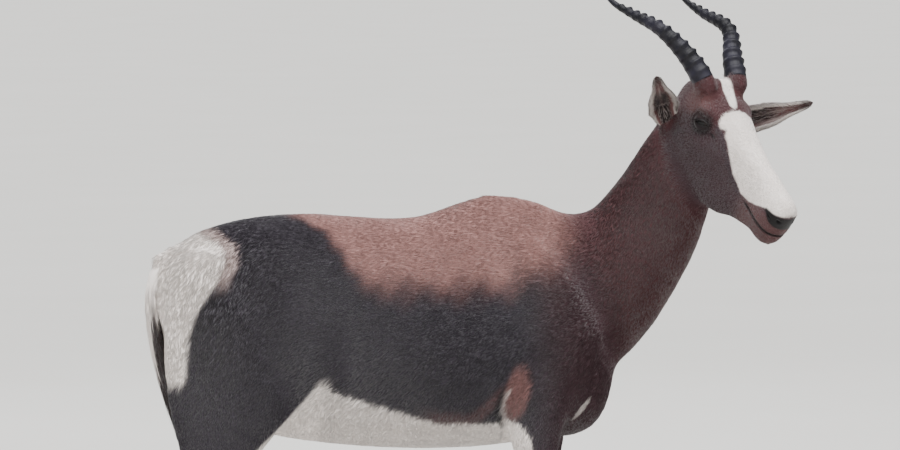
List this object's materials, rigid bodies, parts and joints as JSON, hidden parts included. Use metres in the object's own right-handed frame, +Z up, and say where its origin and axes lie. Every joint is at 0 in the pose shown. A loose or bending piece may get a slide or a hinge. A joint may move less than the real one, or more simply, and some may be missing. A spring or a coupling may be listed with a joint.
{
  "type": "bontebok antelope, life-size still model",
  "caption": "Standing bontebok at life size, head turned to its right, ringed lyre horns, white blaze, rump and lower legs, tufted tail.",
  "frame": {"origin": "on the floor, at the middle of the footprint of the bounding box", "axes": "+X forward along the trunk, +Y to the left of the animal, +Z up"},
  "size_m": [1.1462, 0.4656, 1.2473],
  "materials": {
    "coat_saddle": "short glossy hair, red-brown",
    "coat_neck": "short glossy hair, plum brown",
    "coat_head": "short hair, dark brown with a white blaze",
    "coat_dark": "short glossy hair, dark bluish brown",
    "coat_white": "short hair, white",
    "ear_hair": "fine hair, grey brown, pale inside",
    "tail_hair": "long coarse hair, blackish with a white base",
    "eye": "glossy, near black",
    "horn": "satin, dark slate",
    "hoof": "satin, blackish"
  },
  "bodies": {
    "root": {"torso": "coat_saddle", "neck": "coat_neck", "head": "coat_head", "tail": "tail_hair", "ear_left": "ear_hair", "eye_left": "eye", "horn_left": "horn", "foreleg_upper_left": "coat_dark", "foreleg_lower_left": "coat_white", "hoof_foreleg_left_inner": "hoof", "dewclaw_foreleg_left_inner": "hoof", "hoof_foreleg_left_outer": "hoof", "dewclaw_foreleg_left_outer": "hoof", "hindleg_upper_left": "coat_dark", "hindleg_lower_left": "coat_white", "hoof_hindleg_left_inner": "hoof", "dewclaw_hindleg_left_inner": "hoof", "hoof_hindleg_left_outer": "hoof", "dewclaw_hindleg_left_outer": "hoof", "ear_right": "ear_hair", "eye_right": "eye", "horn_right": "horn", "foreleg_upper_right": "coat_dark", "foreleg_lower_right": "coat_white", "hoof_foreleg_right_inner": "hoof", "dewclaw_foreleg_right_inner": "hoof", "hoof_foreleg_right_outer": "hoof", "dewclaw_foreleg_right_outer": "hoof", "hindleg_upper_right": "coat_dark", "hindleg_lower_right": "coat_white", "hoof_hindleg_right_inner": "hoof", "dewclaw_hindleg_right_inner": "hoof", "hoof_hindleg_right_outer": "hoof", "dewclaw_hindleg_right_outer": "hoof"}
  },
  "joints": []
}
